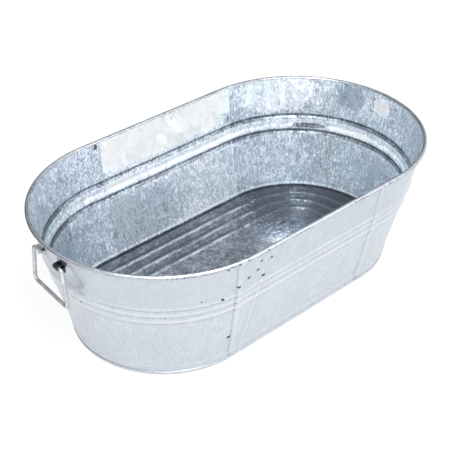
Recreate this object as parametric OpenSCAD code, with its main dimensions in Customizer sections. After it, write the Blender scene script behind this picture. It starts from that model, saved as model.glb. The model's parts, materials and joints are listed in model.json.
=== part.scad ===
// Oval galvanised wash tub: four wall sheets lock-seamed together, a rolled and wired
// rim, a ribbed floor hemmed round the foot, and a swinging wire handle at each end.
//
// Frame: X runs along the tub, Y across it, Z up. The origin is the middle of the foot,
// on the ground. "Left" is -X, "right" is +X, "front" is -Y and "back" is +Y.
// Turning the tub half round about Z brings it back onto itself.

/* [Tub] */
// Overall length over the rolled rim
rim_length = 660; // [600:5:720]
// Overall width over the rolled rim
rim_width = 382; // [378:1:384]
// Overall height from the ground to the top of the rim
rim_height = 205; // [205:1:210]
// Overall width of the foot over its hem
foot_width = 280; // [276:1:282]
// Lean of the lower wall from the vertical, in degrees
wall_draft = 14.2; // [13.8:0.1:14.4]
// Thickness of the galvanised sheet
sheet_t = 0.7; // [0.6:0.1:0.8]
// Outer radius of the rolled rim
roll_r = 3; // [2.8:0.1:3]

/* [Wall band] */
// Height of the lowest ridge of the swaged band
band_low_z = 113; // [110:1:114]
// Height of the highest ridge of the swaged band
band_high_z = 139; // [138:1:142]
// How far the two outer ridges stand out of the wall
ridge_out = 1.6; // [0.8:0.1:2]
// How far the middle ridge stands out of the wall
middle_ridge_out = 0.7; // [0.4:0.1:1.2]
// Half of the height of an outer ridge
ridge_half = 4.5; // [3:0.5:4.5]
// Half of the height of the middle ridge
middle_ridge_half = 6.5; // [5:0.5:6.5]

/* [Floor and foot] */
// Height of the floor's upper face above the ground
floor_z = 18.5; // [16:0.5:20]
// Height of the hem that wraps the foot
hem_h = 6; // [5:0.5:8]
// How far the foot stands out of the wall above it
foot_step = 1.6; // [1:0.1:2]
// Distance of the outermost floor rib from the tub's centre line
rib_outer_r = 113; // [108:1:118]
// Spacing of the three floor ribs
rib_pitch = 23.5; // [20:0.5:26]
// Height of a floor rib
rib_h = 2.4; // [1.5:0.1:3]
// Half of the width of a floor rib
rib_half = 6; // [4:0.5:8]

/* [Lock seams] */
// Width of a lock seam
seam_w = 9; // [8:0.5:11]
// How far the front-left seam lies past the start of the end curve, at the rim
seam_round_top = 23; // [18:1:28]
// The same distance at the ground
seam_round_foot = 2; // [0:1:10]
// How far the back-left seam lies short of the start of the end curve, at the rim
seam_short_top = 24.5; // [18:0.5:30]
// The same distance at the ground
seam_short_foot = 14; // [10:0.5:24]

/* [Handles and ears] */
// Diameter of the handle wire
wire_d = 5.5; // [5:0.1:6]
// Distance between the legs of a handle at its pivots, over the wire
grip_top = 76.5; // [75:0.5:80]
// Distance between the legs of a handle at its grip, over the wire
grip_bottom = 92; // [88:0.5:94]
// Drop from the pivots to the underside of the grip
grip_drop = 60; // [57:0.5:61]
// Height of the pivots above the ground
pivot_z = 180.5; // [179:0.5:181.5]
// Distance of the pivots from the centre of the end curve
pivot_out = 186.5; // [186:0.5:188]
// Turn of each handle round its end from the tub's long axis, in degrees
handle_turn = 5; // [0:1:8]
// Width of an ear along the pivot
ear_w = 11; // [10:0.5:11]
// Distance of an ear's middle from the handle's middle
ear_offset = 25; // [24:0.5:25]
// Thickness of the ear strap
ear_t = 1.2; // [1:0.1:1.4]
// Radius of a rivet's shank
rivet_r = 2; // [1.5:0.1:2.2]

/* [Hidden] */
$fn = 72;

ZINC = [0.80, 0.83, 0.87];
DULL_ZINC = [0.47, 0.51, 0.56];
BRIGHT_WIRE = [0.76, 0.78, 0.80];
DARK_STRAP = [0.22, 0.23, 0.25];

half_straight = (rim_length - rim_width) / 2;
seam_gap = 0.03;                      // air between sheets that lie on each other
reach = rim_length;                   // longer than anything that is cut
cut_margin = 10;                      // how far a cut runs past what it cuts

// --- Rolled rim: circle round the hidden wire, and the upper wall that runs into it
roll_c = [rim_width / 2 - roll_r, rim_height - roll_r];
roll_bore = roll_r - sheet_t;
rim_wire_slack = 0.1;
rim_wire_r = roll_bore - rim_wire_slack;
roll_wrap = 300;                      // how far the sheet goes round the wire, in degrees
roll_step = 15;

// --- Lower wall: a straight cone from the foot to the top of the swaged band
kink_z = band_high_z;
hem_reach = seam_gap + sheet_t / cos(wall_draft);
cone_r = foot_width / 2 - hem_reach - foot_step;
kink_r = cone_r + kink_z * tan(wall_draft);

// --- Upper wall: leans so that it meets the roll as a tangent
kink_to_roll = roll_c - [kink_r, kink_z];
upper_draft = atan2(kink_to_roll.x, kink_to_roll.y) - asin(roll_bore / norm(kink_to_roll));
tangent_z = roll_c.y + roll_bore * sin(upper_draft);
level_t = sheet_t / cos(upper_draft);  // the sheet's thickness measured level
layer = level_t + seam_gap;            // spacing of the sheets stacked in a lock seam

// --- Foot, and the stretch of wall that carries the lock seams
floor_bend = 3;                       // outer radius of the bend round the floor
foot_step_rise = 4;                   // height over which the foot steps out
foot_step_low = floor_z - floor_bend;
foot_step_high = foot_step_low + foot_step_rise;
seam_end_gap = 3;                     // from a lock seam's ends to the hem and the roll
seam_low_z = hem_h + seam_end_gap;
seam_high_z = rim_height - 2 * roll_r - seam_end_gap;
middle_z = (band_low_z + band_high_z) / 2;

// A rounded ridge, high at its middle and level with the sheet at its edges
function ridge(distance, half) =
  abs(distance) < half ? (1 + cos(180 * distance / half)) / 2 : 0;

// A smooth step from 1 below `low` to 0 above `high`
function fade(z, low, high) =
  z <= low ? 1 : z >= high ? 0 : (1 + cos(180 * (z - low) / (high - low))) / 2;

// Radius of the plain wall at a height
function plain_r(z) =
  z < kink_z ? cone_r + z * tan(wall_draft) : kink_r + (z - kink_z) * tan(upper_draft);

// Radius of the wall's outer face at a height, with its band and foot
function wall_r(z) =
  plain_r(z)
  + ridge_out * (ridge(z - band_low_z, ridge_half) + ridge(z - band_high_z, ridge_half))
  + middle_ridge_out * ridge(z - middle_z, middle_ridge_half)
  + foot_step * fade(z, foot_step_low, foot_step_high);

// Heights at which the wall's outline bends
ridge_steps = [-1 : 0.25 : 1];
bend_heights = [
  for (k = [0 : 0.25 : 1]) foot_step_low + k * foot_step_rise,
  for (k = ridge_steps) band_low_z + k * ridge_half,
  for (k = ridge_steps) middle_z + k * middle_ridge_half,
  for (k = ridge_steps) band_high_z + k * ridge_half
];

// The wall's outer face between two heights, moved out by `out`
function wall_face(low, high, out) = [
  [wall_r(low) + out, low],
  for (z = bend_heights) if (z > low && z < high) [wall_r(z) + out, z],
  [wall_r(high) + out, high]
];

function reversed(list) = [for (i = [len(list) - 1 : -1 : 0]) list[i]];

// Points round the roll, from where the wall meets it to the sheet's edge
function roll_arc(radius) = [
  for (a = [0 : roll_step : roll_wrap])
    roll_c + radius * [cos(180 - upper_draft - a), sin(180 - upper_draft - a)]
];

// --- Sweeps round the tub's oval plan -------------------------------------------------

// Sweeps a (distance from the centre line, height) outline all the way round
module oval_sweep() {
  for (turn = [0, 180])
    rotate([0, 0, turn]) {
      translate([half_straight, 0, 0])
        rotate([0, 0, -90])
          rotate_extrude(angle = 180)
            children();
      translate([-half_straight, 0, 0])
        rotate([90, 0, 90])
          linear_extrude(2 * half_straight)
            children();
    }
}

module wall_outline() {
  low = sheet_t + seam_gap;
  polygon(concat(
    wall_face(low, tangent_z - sheet_t, 0),
    roll_arc(roll_bore),
    reversed(roll_arc(roll_r)),
    reversed(wall_face(low, tangent_z - sheet_t, -level_t))
  ));
}

// The seam's sheets from layer `first` to layer `last`; layer 0 is the wall itself
module seam_layers(first, last) {
  oval_sweep()
    polygon(concat(
      wall_face(seam_low_z, seam_high_z, last * layer),
      reversed(wall_face(seam_low_z, seam_high_z, first * layer - level_t))
    ));
}

// --- Where the sheets are cut and locked together -------------------------------------

// A seam line is [x at the ground, x at the rim]
round_seam = [-half_straight - seam_round_foot, -half_straight - seam_round_top];
short_seam = [-half_straight + seam_short_foot, -half_straight + seam_short_top];

function seam_x(line, z) = line[0] + (line[1] - line[0]) * z / rim_height;

// Everything on the front side between two seam lines, each moved along X
module front_slab(line_a, shift_a, line_b, shift_b) {
  low = -cut_margin;
  high = rim_height + cut_margin;
  rotate([90, 0, 0])
    linear_extrude(reach)
      polygon([
        [seam_x(line_a, low) + shift_a, low],
        [seam_x(line_b, low) + shift_b, low],
        [seam_x(line_b, high) + shift_b, high],
        [seam_x(line_a, high) + shift_a, high]
      ]);
}

module seam_strip(line, from, to, first, last) {
  intersection() {
    seam_layers(first, last);
    front_slab(line, from, line, to);
  }
}

// The end sheet's hook: its edge is folded out and back over the side sheet's edge
module end_hook(line) {
  edge = seam_w / 2;
  seam_strip(line, edge - sheet_t, edge, 0, 2);
  seam_strip(line, -edge + sheet_t + seam_gap, edge, 2, 2);
}

// The side sheet's hook: it steps out over the end sheet and folds back beneath it
module side_hook(line) {
  edge = seam_w / 2;
  seam_strip(line, edge + seam_gap, edge + seam_gap + sheet_t, 0, 3);
  seam_strip(line, -edge, edge + seam_gap + sheet_t, 3, 3);
  seam_strip(line, -edge, -edge + sheet_t, 1, 3);
  seam_strip(line, -edge, edge - sheet_t - seam_gap, 1, 1);
}

module half_turn() {
  rotate([0, 0, 180]) children();
}

module to_back() {
  mirror([0, 1, 0]) children();
}

// --- Wall sheets ----------------------------------------------------------------------

module end_panel() {
  far_left = [-reach, -reach];
  color(ZINC)
    difference() {
      union() {
        intersection() {
          oval_sweep() wall_outline();
          union() {
            front_slab(far_left, 0, round_seam, seam_w / 2);
            to_back() front_slab(far_left, 0, short_seam, seam_w / 2);
          }
        }
        end_hook(round_seam);
        to_back() end_hook(short_seam);
      }
      for (side = [1, -1])
        at_rivets(side)
          translate([0, 0, -cut_margin / 2])
            cylinder(r = rivet_r + rivet_slack, h = cut_margin);
    }
}

module side_panel() {
  edge = seam_w / 2 + seam_gap;
  color(ZINC) {
    intersection() {
      oval_sweep() wall_outline();
      front_slab(round_seam, edge, -short_seam, -edge);
    }
    side_hook(round_seam);
    half_turn() to_back() side_hook(short_seam);
  }
}

module rim_wire() {
  color(BRIGHT_WIRE)
    oval_sweep()
      translate(roll_c)
        circle(rim_wire_r);
}

// --- Floor ----------------------------------------------------------------------------

function floor_height(r) =
  floor_z + rib_h * (ridge(r - rib_outer_r, rib_half)
                     + ridge(r - rib_outer_r + rib_pitch, rib_half)
                     + ridge(r - rib_outer_r + 2 * rib_pitch, rib_half));

rib_steps = [-1 : 0.2 : 1];
rib_points = [
  for (n = [2 : -1 : 0])
    for (k = rib_steps) rib_outer_r - n * rib_pitch + k * rib_half
];
middle_r = rib_points[0];              // the floor is flat inside the innermost rib

function quarter(centre, radius) = [
  for (a = [90 : -15 : 0]) centre + radius * [cos(a), sin(a)]
];

// Ribs, bend, flange inside the foot, and the hem round the wall's lower edge
module floor_outline() {
  web_top = sheet_t;
  flange_out = -level_t - seam_gap;
  bend_c = [wall_r(floor_z - floor_bend) + flange_out - floor_bend, floor_z - floor_bend];
  polygon(concat(
    [for (r = rib_points) [r, floor_height(r)]],
    quarter(bend_c, floor_bend),
    [
      [wall_r(web_top) + flange_out, web_top],
      [wall_r(web_top) + seam_gap, web_top],
      [wall_r(hem_h) + seam_gap, hem_h],
      [wall_r(hem_h) + seam_gap + level_t, hem_h],
      [wall_r(0) + seam_gap + level_t, 0],
      [wall_r(0) + flange_out - level_t, 0]
    ],
    reversed(quarter(bend_c, floor_bend - sheet_t)),
    reversed([for (r = rib_points) [r, floor_height(r) - sheet_t]])
  ));
}

module floor_panel() {
  color(DULL_ZINC) {
    oval_sweep() floor_outline();
    translate([0, 0, floor_z - sheet_t])
      linear_extrude(sheet_t) {
        square([2 * half_straight, 2 * middle_r], center = true);
        for (end = [-1, 1])
          translate([end * half_straight, 0])
            circle(middle_r);
      }
  }
}

// --- Handles --------------------------------------------------------------------------

function unit(v) = v / norm(v);
function leg(points, i) = unit(points[i + 1] - points[i]);
function cross2(a, b) = a.x * b.y - a.y * b.x;

// The angle that a wire turns through at a corner, without its sign
function turn_size(points, i) =
  acos(leg(points, i - 1) * leg(points, i));

// How far back from a corner its bend starts; the wire's two ends have no bend
function bend_start(points, radii, i) =
  i == 0 || i == len(points) - 1 ? 0 : radii[i - 1] * tan(turn_size(points, i) / 2);

// A round wire along a flat path, with a bend of its own radius at each corner.
// A straight is drawn a hair thinner and runs a little way into the bends beside it.
module bent_wire(points, radii, diameter) {
  for (i = [0 : len(points) - 2]) {
    d = leg(points, i);
    start = points[i] + d * (bend_start(points, radii, i) - bend_lap);
    stop = points[i + 1] - d * (bend_start(points, radii, i + 1) - bend_lap);
    translate([start.x, start.y, 0])
      rotate([0, 90, atan2(d.y, d.x)])
        cylinder(d = diameter - draw_down, h = norm(stop - start));
  }
  for (i = [1 : len(points) - 2]) {
    d = leg(points, i - 1);
    side = sign(cross2(d, leg(points, i)));
    start = points[i] - d * bend_start(points, radii, i);
    to_centre = side * radii[i - 1] * [-d.y, d.x];
    centre = start + to_centre;
    from = atan2(-to_centre.y, -to_centre.x);
    sweep = turn_size(points, i);
    translate([centre.x, centre.y, 0])
      rotate([0, 0, side > 0 ? from : from - sweep])
        rotate_extrude(angle = sweep)
          translate([radii[i - 1], 0])
            circle(d = diameter);
  }
}

bend_lap = 0.2;                       // how far a straight runs into its bends
draw_down = 0.06;                     // how much thinner a straight is than a bend
top_bend_r = 4;                       // bend of the wire's middle beside an ear
grip_bend_r = 7;                      // bend of the wire's middle beside the grip
wire_stub = 2;                        // how far the wire runs past its ear
top_half = (grip_top - wire_d) / 2;
bottom_half = (grip_bottom - wire_d) / 2;
grip_y = -(grip_drop - wire_d / 2);
wire_end = ear_offset - ear_w / 2 - wire_stub;

// Moves children to the left handle: X along its pivots, -Y out of the tub, Z up
module at_left_handle() {
  translate([-half_straight, 0, pivot_z])
    rotate([0, 0, -90 - handle_turn])
      translate([0, -pivot_out, 0])
        children();
}

module handle() {
  path = [
    [-wire_end, 0], [-top_half, 0], [-bottom_half, grip_y],
    [bottom_half, grip_y], [top_half, 0], [wire_end, 0]
  ];
  color(BRIGHT_WIRE)
    at_left_handle()
      rotate([90, 0, 0])
        bent_wire(path, [top_bend_r, grip_bend_r, grip_bend_r, top_bend_r], wire_d);
}

// --- Ears and rivets ------------------------------------------------------------------

pivot_slack = 0.03;                   // running clearance round the wire
rivet_slack = 0.05;                   // between a rivet's shank and its holes
bore_r = wire_d / 2 + pivot_slack;
eye_r = bore_r + ear_t;
tab_shoulder = eye_r + 1;             // distance from the pivot at which a tab narrows
tab_tip_r = 4;
rivet_up = eye_r + 6.5;               // distance of a rivet from the pivot, up the wall
head_r = 3.2;                         // radius of both of a rivet's heads
outer_head_h = 1.6;
inner_head_h = 1;

ear_r = norm([pivot_out, ear_offset]);
ear_stand = (ear_r - plain_r(pivot_z)) * cos(upper_draft);
ear_z = pivot_z + ear_stand * sin(upper_draft);

// Moves children onto the wall at an ear of the left handle: Z out of the wall,
// Y up the wall, X along it. side is 1 for the front ear and -1 for the back ear.
module at_left_ear(side) {
  translate([-half_straight, 0, 0])
    rotate([0, 0, 180 - handle_turn + side * atan2(ear_offset, pivot_out)])
      translate([plain_r(ear_z), 0, ear_z])
        rotate([0, upper_draft, 0])
          rotate([90, 0, 90])
            children();
}

module at_rivets(side) {
  for (up = [1, -1])
    at_left_ear(side)
      translate([0, up * rivet_up, 0])
        children();
}

// A bar along the pivot, square to the wall, `half` to each side of it, that runs
// from its rounded outer face back through the wall
module pivot_bar(side, half, length) {
  at_left_handle()
    translate([side * ear_offset, 0, 0])
      rotate([upper_draft, 0, 0])
        rotate([0, 90, 0]) {
          cylinder(r = half, h = length, center = true);
          translate([-half, 0, -length / 2])
            cube([2 * half, 2 * ear_stand, length]);
        }
}

module ear_tab(up) {
  mirror([0, up > 0 ? 0 : 1, 0])
    linear_extrude(ear_t) {
      polygon([
        [-ear_w / 2, bore_r], [ear_w / 2, bore_r], [ear_w / 2, tab_shoulder],
        [tab_tip_r, rivet_up], [-tab_tip_r, rivet_up], [-ear_w / 2, tab_shoulder]
      ]);
      translate([0, rivet_up])
        circle(tab_tip_r);
    }
}

// A strap bent over the handle's end, with a riveted tab above and below it
module ear(side) {
  color(DARK_STRAP)
    difference() {
      intersection() {
        union() {
          at_left_ear(side) {
            ear_tab(1);
            ear_tab(-1);
          }
          pivot_bar(side, eye_r, ear_w);
        }
        at_left_ear(side)
          translate([-reach / 2, -reach / 2, seam_gap])
            cube(reach);
      }
      pivot_bar(side, bore_r, 2 * ear_w);
      at_rivets(side)
        translate([0, 0, -cut_margin / 2])
          cylinder(r = rivet_r + rivet_slack, h = cut_margin);
    }
}

module rivet() {
  cap_r = (head_r * head_r + outer_head_h * outer_head_h) / (2 * outer_head_h);
  inner_face = -sheet_t - 2 * seam_gap;
  translate([0, 0, inner_face - inner_head_h])
    cylinder(r = head_r, h = inner_head_h);
  translate([0, 0, inner_face])
    cylinder(r = rivet_r, h = ear_t + seam_gap - inner_face);
  translate([0, 0, ear_t + seam_gap])
    intersection() {
      translate([0, 0, outer_head_h - cap_r]) sphere(cap_r);
      cylinder(r = head_r, h = outer_head_h);
    }
}

module rivets(side) {
  color(BRIGHT_WIRE)
    at_rivets(side) rivet();
}

side_panel();  // side_panel_front
half_turn() side_panel();  // side_panel_back
end_panel();  // end_panel_left
half_turn() end_panel();  // end_panel_right
floor_panel();
rim_wire();
handle();  // handle_left
half_turn() handle();  // handle_right
ear(1);  // ear_left_front
ear(-1);  // ear_left_back
half_turn() ear(-1);  // ear_right_front
half_turn() ear(1);  // ear_right_back
rivets(1);  // rivets_left_front
rivets(-1);  // rivets_left_back
half_turn() rivets(-1);  // rivets_right_front
half_turn() rivets(1);  // rivets_right_back
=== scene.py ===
"""Looks of the oval galvanised wash tub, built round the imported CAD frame.

All lengths are metres in the frame's own axes: X along the tub, Y across it, Z up.
Places on the wall are given by s, the distance round the tub from the middle of the left
end towards the front, and by z, the height.
"""
import json
import math

import bmesh
import bpy
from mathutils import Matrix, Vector, noise


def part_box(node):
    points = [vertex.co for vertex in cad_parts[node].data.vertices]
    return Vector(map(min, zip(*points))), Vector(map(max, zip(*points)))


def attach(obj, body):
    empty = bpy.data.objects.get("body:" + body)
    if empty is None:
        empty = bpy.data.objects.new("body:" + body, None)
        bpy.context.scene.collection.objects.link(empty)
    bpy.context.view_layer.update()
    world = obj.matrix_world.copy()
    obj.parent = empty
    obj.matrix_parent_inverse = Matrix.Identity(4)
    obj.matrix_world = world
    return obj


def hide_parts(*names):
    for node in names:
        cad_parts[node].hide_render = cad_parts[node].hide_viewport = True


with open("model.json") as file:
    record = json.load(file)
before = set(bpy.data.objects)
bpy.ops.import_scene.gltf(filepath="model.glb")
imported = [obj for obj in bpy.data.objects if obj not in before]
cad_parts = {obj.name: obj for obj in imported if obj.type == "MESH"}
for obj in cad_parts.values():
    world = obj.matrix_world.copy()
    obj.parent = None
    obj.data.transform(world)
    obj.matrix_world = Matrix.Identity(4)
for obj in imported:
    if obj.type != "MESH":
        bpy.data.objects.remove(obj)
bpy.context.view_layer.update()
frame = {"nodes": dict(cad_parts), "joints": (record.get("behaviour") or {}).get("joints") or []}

MM = 0.001

# --------------------------------------------------------------------------------------
# Sizes: the main ones are read from the frame
# --------------------------------------------------------------------------------------

END_LOW, END_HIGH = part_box("end_panel_left")
RIM_RADIUS = END_HIGH.y                       # half of the width over the rolled rim
RIM_TOP = END_HIGH.z
HALF_STRAIGHT = -END_LOW.x - RIM_RADIUS       # half of the length of the straight sides

SHEET = 0.7 * MM                              # thickness of the sheet
AIR = 0.03 * MM                               # between sheets that lie on each other
ROLL_RADIUS = 3.0 * MM                        # outer radius of the rolled rim
ROLL_BORE = ROLL_RADIUS - SHEET
ROLL_WRAP = math.radians(300)                 # how far the sheet goes round the rim wire
ROLL_CENTRE = Vector((RIM_RADIUS - ROLL_RADIUS, RIM_TOP - ROLL_RADIUS))
RIM_WIRE_RADIUS = ROLL_BORE - 0.1 * MM

RIDGES = (                                    # of the swaged band: height, stand-out, half height
    (113 * MM, 1.6 * MM, 4.5 * MM), (126 * MM, 0.7 * MM, 6.5 * MM), (139 * MM, 1.6 * MM, 4.5 * MM),
)
FOOT_STEP = 1.6 * MM                          # how far the foot stands out of the wall
FLOOR_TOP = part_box("floor_panel")[1].z - 2.4 * MM
FOOT_STEP_LOW = FLOOR_TOP - 3 * MM
FOOT_STEP_HIGH = FLOOR_TOP + 1 * MM
HEM_TOP = 6 * MM
HEM_FOLD = 1.09 * MM                          # outer radius of the fold under the wall
KINK = RIDGES[-1][0]                          # the wall is steeper above this height

SEAM_HALF = 4.5 * MM                          # half of the width of a lock seam
SEAM_PROUD = 3 * (SHEET + AIR)                # three more sheets lie on the wall there
SEAM_PAD = 0.4 * MM                           # how far a seam stands into the tub
EDGE_GAP = 0.05 * MM                          # between the edges of two sheets of the wall
SEAM_LOW = HEM_TOP + 3 * MM
SEAM_HIGH = RIM_TOP - 2 * ROLL_RADIUS - 3 * MM

RIB_RADII = (66 * MM, 89.5 * MM, 113 * MM)    # floor ribs, from the tub's centre line
RIB_HALF = 6 * MM
RIB_HEIGHT = 2.4 * MM
FLOOR_BEND = 3 * MM

COLUMN = 4 * MM                               # length of the mesh cells round the tub
COARSE = 6 * MM                               # height of the cells where the wall is plain
FINE = 0.75 * MM                              # and across the ridges and ribs
PLAN_RADIUS = 160 * MM                        # radius at which s is measured
QUARTER = PLAN_RADIUS * math.pi / 2           # s where the front straight starts
PERIMETER = 4 * HALF_STRAIGHT + 4 * QUARTER
HALF_WAY = PERIMETER / 2                      # s at the middle of the right end


def wall_radius_near(height):
    """The wall's outer radius at the left end, from the CAD vertices near a height."""
    radii = [0.0]
    for vertex in frame["nodes"]["end_panel_left"].data.vertices:
        x, y, z = vertex.co
        if abs(z - height) < 0.6 * MM and x < -HALF_STRAIGHT - abs(y):
            radii.append(math.hypot(x + HALF_STRAIGHT, y))
    return max(radii)


PLAIN_LOW = FOOT_STEP_HIGH
PLAIN_HIGH = RIDGES[0][0] - RIDGES[0][2]
LOWER_SLOPE = (wall_radius_near(PLAIN_HIGH) - wall_radius_near(PLAIN_LOW)) / (PLAIN_HIGH - PLAIN_LOW)
CONE_RADIUS = wall_radius_near(PLAIN_LOW) - PLAIN_LOW * LOWER_SLOPE
KINK_RADIUS = CONE_RADIUS + KINK * LOWER_SLOPE
to_roll = ROLL_CENTRE - Vector((KINK_RADIUS, KINK))
UPPER_DRAFT = math.atan2(to_roll.x, to_roll.y) - math.asin(ROLL_BORE / to_roll.length)
TANGENT_HEIGHT = ROLL_CENTRE.y + ROLL_BORE * math.sin(UPPER_DRAFT)
LEVEL_SHEET = SHEET / math.cos(UPPER_DRAFT)   # the sheet's thickness measured level


# --------------------------------------------------------------------------------------
# Outlines
# --------------------------------------------------------------------------------------

def smooth(x, low, high):
    """0 below low, 1 above high, and a soft S between them."""
    t = min(max((x - low) / (high - low), 0.0), 1.0)
    return t * t * (3 - 2 * t)


def spread(low, high, step):
    """Evenly spaced values from low to high, no further apart than step."""
    count = max(1, math.ceil((high - low) / step - 1e-6))
    return [low + (high - low) * i / count for i in range(count + 1)]


def ridge(distance, half):
    """A rounded ridge, 1 at its middle and 0 beyond half."""
    return (1 + math.cos(math.pi * distance / half)) / 2 if abs(distance) < half else 0.0


def plain_radius(z):
    """The wall's outer radius at a height, without band and foot."""
    if z < KINK:
        return CONE_RADIUS + z * LOWER_SLOPE
    return KINK_RADIUS + (z - KINK) * math.tan(UPPER_DRAFT)


def wall_radius(z):
    """The wall's outer radius at a height."""
    band = sum(out * ridge(z - middle, half) for middle, out, half in RIDGES)
    return plain_radius(z) + band + FOOT_STEP * (1 - smooth(z, FOOT_STEP_LOW, FOOT_STEP_HIGH))


def floor_height(r):
    """The floor's upper face at a distance from the tub's centre line."""
    return FLOOR_TOP + RIB_HEIGHT * sum(ridge(r - rib, RIB_HALF) for rib in RIB_RADII)


def plan(s):
    """Where the plan's curve is centred on the X axis, and its outward direction, at s."""
    s = s % PERIMETER
    turn = 0.0
    if s > HALF_WAY:
        s -= HALF_WAY
        turn = math.pi
    sign = math.cos(turn)
    if s < QUARTER:
        angle = math.pi + s / PLAN_RADIUS
        return -HALF_STRAIGHT * sign, sign * math.cos(angle), sign * math.sin(angle)
    if s < QUARTER + 2 * HALF_STRAIGHT:
        return (s - QUARTER - HALF_STRAIGHT) * sign, 0.0, -sign
    angle = -math.pi / 2 + (s - QUARTER - 2 * HALF_STRAIGHT) / PLAN_RADIUS
    return HALF_STRAIGHT * sign, sign * math.cos(angle), sign * math.sin(angle)


def along_wall(x, y):
    """The s of a point."""
    if abs(x) <= HALF_STRAIGHT:
        share = QUARTER + HALF_STRAIGHT - math.copysign(x, y)
        return share + (HALF_WAY if y > 0 else 0.0)
    angle = math.atan2(y, x - math.copysign(HALF_STRAIGHT, x))
    if x > 0:
        return HALF_WAY + angle * PLAN_RADIUS
    return (angle % math.tau - math.pi) * PLAN_RADIUS


def calm_near_ears(x, y, z):
    """0 where an ear is riveted on, 1 away from the ears."""
    nearest = min((Vector((x, y, z)) - Vector(j["pos_m"])).length for j in frame["joints"])
    return smooth(nearest, 45 * MM, 80 * MM)


def dent(x, y, z):
    """How far a hand-worked wall lies from the true one, outwards."""
    p = Vector((x, y, z))
    amount = 0.75 * MM * noise.noise(p / 0.13) + 0.30 * MM * noise.noise(p / 0.048 + Vector((7, 2, 5)))
    amount *= smooth(z, 16 * MM, 50 * MM) * (1 - smooth(z, 180 * MM, 198 * MM))
    return amount * calm_near_ears(x, y, z)


def rim_dip(x, y, z):
    """How far the rolled rim dips inwards from the true one, never outwards."""
    p = Vector((x, y, 0)) / 0.16
    return -0.35 * MM * (0.5 + noise.noise(p)) * smooth(z, 180 * MM, 200 * MM) * calm_near_ears(x, y, z)


def on_oval(s, r, z, bent=True):
    """The point at s, at radius r and height z."""
    middle, nx, ny = plan(s)
    x, y = middle + r * nx, r * ny
    if bent:
        out = dent(x, y, z) + min(rim_dip(x, y, z), 0.0)
        x, y = x + out * nx, y + out * ny
    return Vector((x, y, z))


# --------------------------------------------------------------------------------------
# Mesh helpers
# --------------------------------------------------------------------------------------

def finish_mesh(name, bm, body, nodes, material, sharp=40):
    """Turns a bmesh into a piece that rides on a body and stands for CAD nodes."""
    bmesh.ops.remove_doubles(bm, verts=bm.verts, dist=0.002 * MM)
    bmesh.ops.recalc_face_normals(bm, faces=bm.faces)
    mesh = bpy.data.meshes.new(name)
    bm.to_mesh(mesh)
    bm.free()
    mesh.polygons.foreach_set("use_smooth", [True] * len(mesh.polygons))
    mesh.set_sharp_from_angle(angle=math.radians(sharp))
    piece = bpy.data.objects.new(name, mesh)
    bpy.context.scene.collection.objects.link(piece)
    mesh.materials.append(material)
    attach(piece, body)
    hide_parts(*nodes)
    return piece


def sweep_rings(bm, rings, closed=False, capped=True, joined=True):
    """Faces between rings of points. joined is whether a ring closes on itself."""
    made = [[bm.verts.new(point) for point in ring] for ring in rings]
    count = len(made[0])
    pairs = list(zip(made, made[1:])) + ([(made[-1], made[0])] if closed else [])
    for a, b in pairs:
        for i in range(count if joined else count - 1):
            j = (i + 1) % count
            bm.faces.new((a[i], a[j], b[j], b[i]))
    if capped and not closed:
        for ring in (made[0], made[-1]):
            for i in range(count // 2 - 1):
                bm.faces.new((ring[i], ring[i + 1], ring[count - 2 - i], ring[count - 1 - i]))


def solid_sweep(bm, rings):
    """A sweep whose two ends are each closed by one face."""
    sweep_rings(bm, rings, capped=False)
    for ring in (rings[0], rings[-1]):
        bm.faces.new([bm.verts.new(point) for point in ring])


def ring_of(pairs):
    """A closed ring from (outer, inner) pairs: up the outer face and down the inner one."""
    return [outer for outer, _ in pairs] + [inner for _, inner in reversed(pairs)]


# --------------------------------------------------------------------------------------
# Materials
# --------------------------------------------------------------------------------------

class Nodes:
    """A node tree while it is put together."""

    def __init__(self, tree):
        self.tree = tree
        self.tree.nodes.clear()

    def add(self, kind, inputs=None, **settings):
        node = self.tree.nodes.new(kind)
        for key, value in settings.items():
            setattr(node, key, value)
        for key, value in (inputs or {}).items():
            if isinstance(value, bpy.types.NodeSocket):
                self.tree.links.new(value, node.inputs[key])
            else:
                node.inputs[key].default_value = value
        return node

    def math(self, operation, a, b=0.0):
        return self.add("ShaderNodeMath", {0: a, 1: b}, operation=operation).outputs[0]

    def vector(self, operation, a, b=(0, 0, 0)):
        return self.add("ShaderNodeVectorMath", {0: a, 1: b}, operation=operation).outputs[0]

    def length(self, vector):
        return self.add("ShaderNodeVectorMath", {0: vector}, operation="LENGTH").outputs["Value"]

    def remap(self, value, low, high, to_low=0.0, to_high=1.0, curve="SMOOTHSTEP"):
        inputs = {"Value": value, "From Min": low, "From Max": high, "To Min": to_low, "To Max": to_high}
        return self.add("ShaderNodeMapRange", inputs, interpolation_type=curve).outputs["Result"]

    def mix(self, factor, a, b, blend="MIX"):
        node = self.add("ShaderNodeMix", data_type="RGBA", blend_type=blend)
        for index, value in ((0, factor), (6, a), (7, b)):
            if isinstance(value, bpy.types.NodeSocket):
                self.tree.links.new(value, node.inputs[index])
            elif index == 0:
                node.inputs[index].default_value = value
            else:
                node.inputs[index].default_value = (*value, 1.0)
        return node.outputs[2]


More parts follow.
